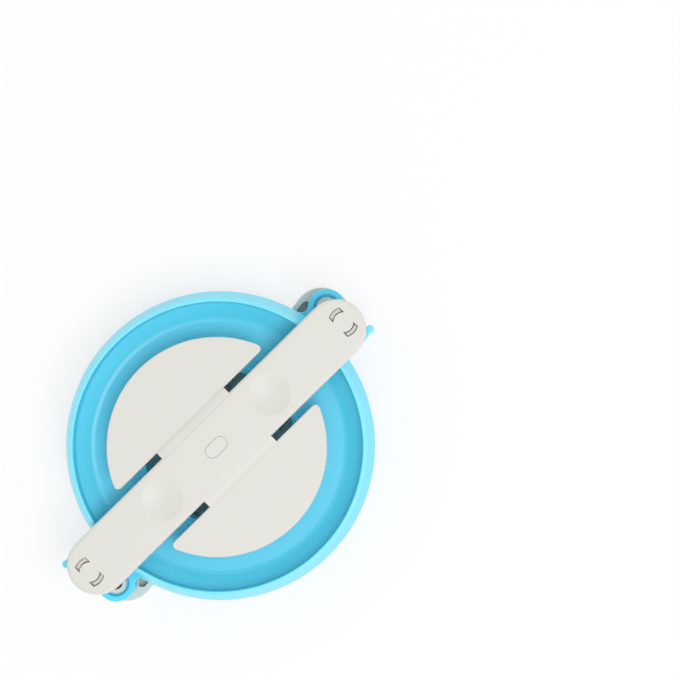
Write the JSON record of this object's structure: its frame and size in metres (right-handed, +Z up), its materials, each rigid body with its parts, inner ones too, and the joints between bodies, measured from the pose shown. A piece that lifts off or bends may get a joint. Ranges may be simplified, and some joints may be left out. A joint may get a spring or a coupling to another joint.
{
  "type": "pom pom maker",
  "caption": "Hand tool for winding pom poms: two frames face to face on a centre pin, each with hinged half-ring channel arms that swing open.",
  "frame": {"origin": "centre of the face of the bottom bar, on the axis of the centre pin, where the part stands", "axes": "+X along the top bar, +Z up through the two halves, +Y towards the back arms"},
  "size_m": [0.1102, 0.088, 0.028],
  "materials": {
    "white_plastic": "moulded off-white plastic, fine satin texture",
    "blue_plastic": "moulded sky-blue plastic, satin"
  },
  "bodies": {
    "bottom_half": {"bottom_frame": "white_plastic", "bottom_right_hinge_pin": "white_plastic", "bottom_left_hinge_pin": "white_plastic"},
    "centre_pin": {"centre_pin": "white_plastic"},
    "top_half": {"top_frame": "white_plastic", "top_right_hinge_pin": "white_plastic", "top_left_hinge_pin": "white_plastic"},
    "top_back_arm": {"top_back_arm": "blue_plastic"},
    "top_front_arm": {"top_front_arm": "blue_plastic"},
    "bottom_back_arm": {"bottom_back_arm": "blue_plastic"},
    "bottom_front_arm": {"bottom_front_arm": "blue_plastic"}
  },
  "joints": [
    {"name": "halves_twist", "type": "hinge", "parent": "bottom_half", "child": "centre_pin", "pos_m": [0, 0, 0.014], "axis": [0, 0, 1], "continuous": true},
    {"name": "top_half_lift", "type": "slide", "parent": "centre_pin", "child": "top_half", "axis": [0, 0, 1], "range_m": [0, 0.025]},
    {"name": "top_back_arm_swing", "type": "hinge", "parent": "top_half", "child": "top_back_arm", "pos_m": [0.0495, 0, 0.019], "axis": [0, 0, -1], "range_deg": [0, 160]},
    {"name": "top_front_arm_swing", "type": "hinge", "parent": "top_half", "child": "top_front_arm", "pos_m": [-0.0495, 0, 0.019], "axis": [0, 0, -1], "range_deg": [0, 160]},
    {"name": "bottom_back_arm_swing", "type": "hinge", "parent": "bottom_half", "child": "bottom_back_arm", "pos_m": [0.04902, 0.00689, 0.009], "axis": [0, 0, -1], "range_deg": [0, 160]},
    {"name": "bottom_front_arm_swing", "type": "hinge", "parent": "bottom_half", "child": "bottom_front_arm", "pos_m": [-0.04902, -0.00689, 0.009], "axis": [0, 0, -1], "range_deg": [0, 160]}
  ]
}
